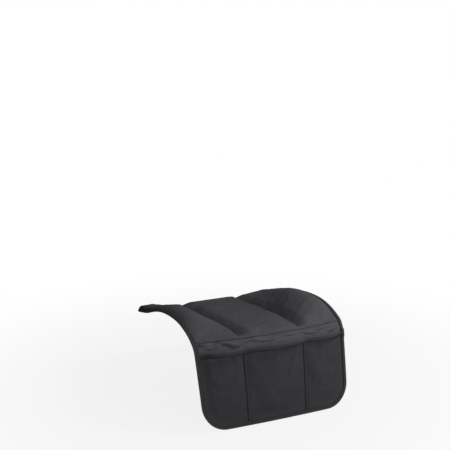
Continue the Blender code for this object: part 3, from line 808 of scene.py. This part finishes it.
def make_ribbing():
    """Ribs from a sine, yarn from noise, a painted highlight along the fold where the map's Y is 0, and a line
    sunk at the stitches, as a bump and as painted shade.
    """
    group, given, out = shader_group(
        "ribbed tape",
        (("Rib pitch", 0.0013), ("Stitch line", 0.0098), ("Rubbed", 0.5)),
        (("Height", "NodeSocketFloat"), ("Tone", "NodeSocketFloat")),
    )
    place = pattern_map(group)
    split = wire(group, "ShaderNodeSeparateXYZ", Vector=place)
    turns = math_node(group, "DIVIDE", 2 * math.pi, given.outputs["Rib pitch"])
    rib = math_node(group, "SINE", math_node(group, "MULTIPLY", split.outputs["X"], turns))
    yarn = wire(group, "ShaderNodeTexNoise", Vector=place, Scale=700.0, Detail=3.0).outputs["Fac"]
    away = math_node(group, "SUBTRACT", split.outputs["Y"], given.outputs["Stitch line"])
    away = math_node(group, "DIVIDE", math_node(group, "ABSOLUTE", away), 0.0011)
    groove_and_painted_shade = math_node(group, "SUBTRACT", 1.0, math_node(group, "MINIMUM", away, 1.0))
    # Lighter towards the fold: a painted highlight, standing in for the sheen of the folded edge.
    inwards = math_node(group, "MINIMUM", math_node(group, "DIVIDE", split.outputs["Y"], 0.0045), 1.0)
    at_fold = math_node(group, "SUBTRACT", 1.0, inwards)
    fold = math_node(group, "MULTIPLY", at_fold, given.outputs["Rubbed"])
    tone = math_node(group, "ADD", math_node(group, "MULTIPLY", yarn, 0.55), fold)
    # Darker on the stitch line: painted shade in the sunken stitching. The same line is also sunk in the bump's
    # height.
    tone = math_node(group, "SUBTRACT", tone, math_node(group, "MULTIPLY", groove_and_painted_shade, 0.8))
    height = math_node(group, "ADD", math_node(group, "MULTIPLY", rib, 0.5), yarn)
    height = math_node(group, "SUBTRACT", height, math_node(group, "MULTIPLY", groove_and_painted_shade, 1.5))
    group.links.new(height, out.inputs["Height"])
    group.links.new(tone, out.inputs["Tone"])
    return group


RIBBING = make_ribbing()


def tape_material(name, stitch_line, painted_fold_highlight):
    """Ribbed polyester tape: two tones mixed by the ribbing group, with its painted highlight along the fold
    and painted shade on the stitch line, its height as a bump, and a soft sheen.
    """
    material, tree, surface = new_surface(name, 0.72, specular=0.0)
    # The last argument sets how strong the painted highlight along the fold is.
    ribbing = wire(tree, "ShaderNodeGroup", (("node_tree", RIBBING),), Stitch_line=stitch_line, Rubbed=painted_fold_highlight)
    two_tones(tree, surface, ribbing.outputs["Tone"], (0.012, 0.0115, 0.012), (0.092, 0.088, 0.093))
    relief(tree, surface, ribbing.outputs["Height"], 0.4, 0.0003)
    surface.inputs["Sheen Weight"].default_value = 0.01
    return material


x = np.linspace(INSET - HALF_WIDTH, HALF_WIDTH - INSET, 260)
s = np.full_like(x, POCKET_TOP - HEM_STEP)


def hem_low(distance):
    """Underside of the net inside the tape."""
    return net_height(x, s + distance) - STRAND - PLY_GAP


def hem_high(distance):
    """Top of the net inside the tape."""
    return net_height(x, s + distance) + STRAND + PLY_GAP


hem_width = TAPE_BOTTOM - POCKET_TOP + HEM_STEP
hem = folded_tape("pocket_hem_tape", x, s, 0.0, 1.0, hem_low, hem_high, hem_width, CLOTH, closed=False)
hem.data.materials.append(tape_material("hem tape", HEM_STITCH, 0.3))
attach(hem, "root")
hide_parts("pocket_top_binding")
inside = np.abs(x) < 0.222
sewn = sewn_line(x[inside], s[inside] + HEM_STITCH, hem_high(HEM_STITCH)[inside] + CLOTH + 0.0002)
stitch_row("hem_tape_stitches", "black_tape", sewn)


# The dividers: two lengths of the same tape, laid flat on the net and sewn down both edges
# through the flap, so that they part the net into three pockets.
DIVIDER_STITCH = 0.0042
divider_tape = tape_material("divider tape", DIVIDER_STITCH, 0.0)
for side, middle in (("left", -FOLD), ("right", FOLD)):
    x = np.linspace(middle - DIVIDER, middle + DIVIDER, 9)[None, :] * np.ones((120, 1))
    line = np.linspace(TAPE_BOTTOM + 0.001, FLAP_LENGTH - BINDING_WIDTH - 0.001, 120)
    s = line[:, None] * np.ones((1, 9))
    under = net_height(x, s) + STRAND + PLY_GAP
    strip = cloth_piece(f"divider_strip_{side}", x, s, under + CLOTH, under)
    # As on the other tapes, the map's X is the way along. Its Y is the distance from the middle.
    uv = strip.data.uv_layers["pattern"].data
    flat = np.empty(len(uv) * 2, np.float32)
    uv.foreach_get("uv", flat)
    flat = flat.reshape(-1, 2)
    uv.foreach_set("uv", np.stack([flat[:, 1], np.abs(flat[:, 0] - middle)], axis=-1).ravel())
    strip.data.materials.append(divider_tape)
    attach(strip, "root")
    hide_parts(f"divider_tape_{side}")
    rows = []
    for off in (-DIVIDER_STITCH, DIVIDER_STITCH):
        x = np.full_like(line, middle + off)
        rows.append(sewn_line(x, line, net_height(x, line) + STRAND + PLY_GAP + CLOTH + 0.0001))
    stitch_row(f"divider_stitches_{side}", "black_tape", *rows)


# The edge binding: black ribbed tape folded over every ply, all the way round, with one row
# of stitches 2 mm inside its edge. It rides up over the seam and the hem tape where it crosses them.
BINDING_THICKNESS = 0.0010
BINDING_STITCH = BINDING_WIDTH - 0.0022


def edge_path(pitch=0.004):
    """The outline at an even pitch, as arrays of x, s and the way in from the edge."""
    def turn(cx, cs, radius, start):
        count = max(8, round(radius * math.pi / 2 / pitch))
        angle = np.radians(start) + np.linspace(0, math.pi / 2, count, endpoint=False)
        out_x, out_s = np.cos(angle), np.sin(angle)
        return np.stack([cx + radius * out_x, cs + radius * out_s, -out_x, -out_s], axis=1)

    def run(x0, s0, x1, s1, in_x, in_s):
        count = round(math.hypot(x1 - x0, s1 - s0) / pitch)
        t = np.linspace(0, 1, count, endpoint=False)
        inwards = [np.full(count, in_x), np.full(count, in_s)]
        return np.stack([x0 + (x1 - x0) * t, s0 + (s1 - s0) * t, *inwards], axis=1)

    side, rear, front = HALF_WIDTH, REAR_CORNER - SEAT_LENGTH, FLAP_LENGTH - FLAP_CORNER
    return np.concatenate([
        run(REAR_CORNER - side, -SEAT_LENGTH, side - REAR_CORNER, -SEAT_LENGTH, 0.0, 1.0),
        turn(side - REAR_CORNER, rear, REAR_CORNER, -90),
        run(side, rear, side, front, -1.0, 0.0),
        turn(CORNER_START, front, FLAP_CORNER, 0),
        run(CORNER_START, FLAP_LENGTH, -CORNER_START, FLAP_LENGTH, 0.0, -1.0),
        turn(-CORNER_START, front, FLAP_CORNER, 90),
        run(-side, front, -side, rear, 1.0, 0.0),
        turn(REAR_CORNER - side, rear, REAR_CORNER, 180),
    ]).T


px, ps, in_x, in_s = edge_path()


def under_tape(distance):
    """The pattern point that far in from the edge, or where the plies end."""
    reach = max(distance, INSET)
    return px + in_x * reach, ps + in_s * reach


def plies_top(distance):
    """Top of the plies under the tape: the cloth, the lapped seam, the hem tape and the net, blended."""
    x, s = under_tape(distance)
    top = core(x, s) + CLOTH
    top = top + (CLOTH + PLY_GAP) * ease((s + 0.018) / 0.007) * ease((0.008 - s) / 0.006)
    at_pocket = ease((s - POCKET_TOP + 0.008) / 0.006)
    over_tape = ease((TAPE_BOTTOM + 0.008 - s) / 0.006)
    return top + at_pocket * (PLY_GAP + 2 * STRAND + over_tape * (2 * HEM_STEP + PLY_GAP)) + PLY_GAP


def plies_bottom(distance):
    """Underside of the plies under the tape."""
    x, s = under_tape(distance)
    return -core(x, s) - CLOTH - PLY_GAP


binding = folded_tape(
    "binding_tape", px, ps, in_x, in_s, plies_bottom, plies_top, BINDING_WIDTH, BINDING_THICKNESS, closed=True
)
binding.data.materials.append(tape_material("binding tape", BINDING_STITCH, 0.35))
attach(binding, "root")
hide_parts("edge_binding")
x, s = px + in_x * BINDING_STITCH, ps + in_s * BINDING_STITCH
lift = BINDING_THICKNESS + 0.00015
rows = [sewn_line(x, s, plies_top(BINDING_STITCH) + lift), sewn_line(x, s, plies_bottom(BINDING_STITCH) - lift)]
stitch_row("binding_stitches", "black_tape", *rows)


# The floor and backdrop: pale paper under a pale sky, both white where the camera sees them, with
# soft lights above and in front, and the camera where the photographer stood.
FLOOR_HEIGHT = -0.224
FLOOR_REACH = 6.0
EYE = (-1.16915, -2.42040, 0.92142)
EYE_TURNED, EYE_TIPPED = math.radians(25.0), math.radians(13.5)
FOCAL_PIXELS, PICTURE_PIXELS = 946.0, 450.0


def seen_plainly(tree):
    """1 for camera, mirror and glass rays, which see plain white, and 0 for the rays that carry light."""
    path = tree.nodes.new("ShaderNodeLightPath")
    seen = math_node(tree, "MAXIMUM", path.outputs["Is Camera Ray"], path.outputs["Is Glossy Ray"])
    return math_node(tree, "MAXIMUM", seen, path.outputs["Is Transmission Ray"])


def white_to_camera(name, near):
    """Pale matt paper, seen as plain white but for the shadow near the mat."""
    material = bpy.data.materials.new(name)
    material.use_nodes = True
    tree = material.node_tree
    tree.nodes.clear()
    seen = seen_plainly(tree)
    away = wire(tree, "ShaderNodeVectorMath", (("operation", "LENGTH"),), i0=object_place(tree))
    share = wire(
        tree, "ShaderNodeMapRange", (("interpolation_type", "SMOOTHSTEP"),),
        Value=away.outputs["Value"], From_Min=0.35, From_Max=1.3, To_Min=near, To_Max=1.0,
    )
    paper = wire(tree, "ShaderNodeBsdfDiffuse", Color=(0.40, 0.40, 0.40, 1.0))
    glow = wire(tree, "ShaderNodeEmission", Color=(1.0, 1.0, 1.0, 1.0), Strength=1.0)
    shown = math_node(tree, "MULTIPLY", seen, share.outputs[0])
    mixed = wire(tree, "ShaderNodeMixShader", i0=shown, i1=paper.outputs[0], i2=glow.outputs[0])
    out = tree.nodes.new("ShaderNodeOutputMaterial")
    tree.links.new(mixed.outputs[0], out.inputs["Surface"])
    return material


corners = [(x * FLOOR_REACH, y * FLOOR_REACH, FLOOR_HEIGHT) for x, y in ((-1, -1), (1, -1), (1, 1), (-1, 1))]
floor = mesh_piece("floor", corners, np.array([[0, 1, 2, 3]]), smooth=False)
floor.data.materials.append(white_to_camera("floor paper", 0.86))

world = bpy.data.worlds.new("studio")
bpy.context.scene.world = world
world.use_nodes = True
tree = world.node_tree
tree.nodes.clear()
seen = seen_plainly(tree)
dim = wire(tree, "ShaderNodeBackground", Color=(0.95, 0.97, 1.0, 1.0), Strength=0.28)
bright = wire(tree, "ShaderNodeBackground", Color=(1.0, 1.0, 1.0, 1.0), Strength=1.0)
mixed = wire(tree, "ShaderNodeMixShader", i0=seen, i1=dim.outputs[0], i2=bright.outputs[0])
out = tree.nodes.new("ShaderNodeOutputWorld")
tree.links.new(mixed.outputs[0], out.inputs["Surface"])


def soft_light(name, place, target, size, power):
    """A disc lamp at a place, turned to a target."""
    lamp = bpy.data.lights.new(name, "AREA")
    lamp.shape = "DISK"
    lamp.size = size
    lamp.energy = power
    holder = bpy.data.objects.new(name, lamp)
    holder.location = place
    holder.rotation_euler = (Vector(target) - Vector(place)).to_track_quat("-Z", "Y").to_euler()
    bpy.context.scene.collection.objects.link(holder)


soft_light("key", (0.855, -0.675, 1.08), (0.0, 0.0, -0.05), 0.36, 17.0)
soft_light("fill", (0.8, -3.0, 0.9), (0.0, 0.0, -0.1), 1.4, 47.0)

camera = bpy.data.cameras.new("camera")
camera.sensor_width = 36.0
camera.lens = camera.sensor_width * FOCAL_PIXELS / PICTURE_PIXELS
camera.clip_end = 50.0
level = math.cos(EYE_TIPPED)
forward = Vector((math.sin(EYE_TURNED) * level, math.cos(EYE_TURNED) * level, -math.sin(EYE_TIPPED)))
right = Vector((math.cos(EYE_TURNED), -math.sin(EYE_TURNED), 0.0))
facing = Matrix((right, right.cross(forward), -forward)).transposed().to_4x4()
eye = bpy.data.objects.new("camera", camera)
eye.matrix_world = Matrix.Translation(EYE) @ facing
bpy.context.scene.collection.objects.link(eye)
bpy.context.scene.camera = eye
bpy.context.scene.view_settings.view_transform = "Standard"
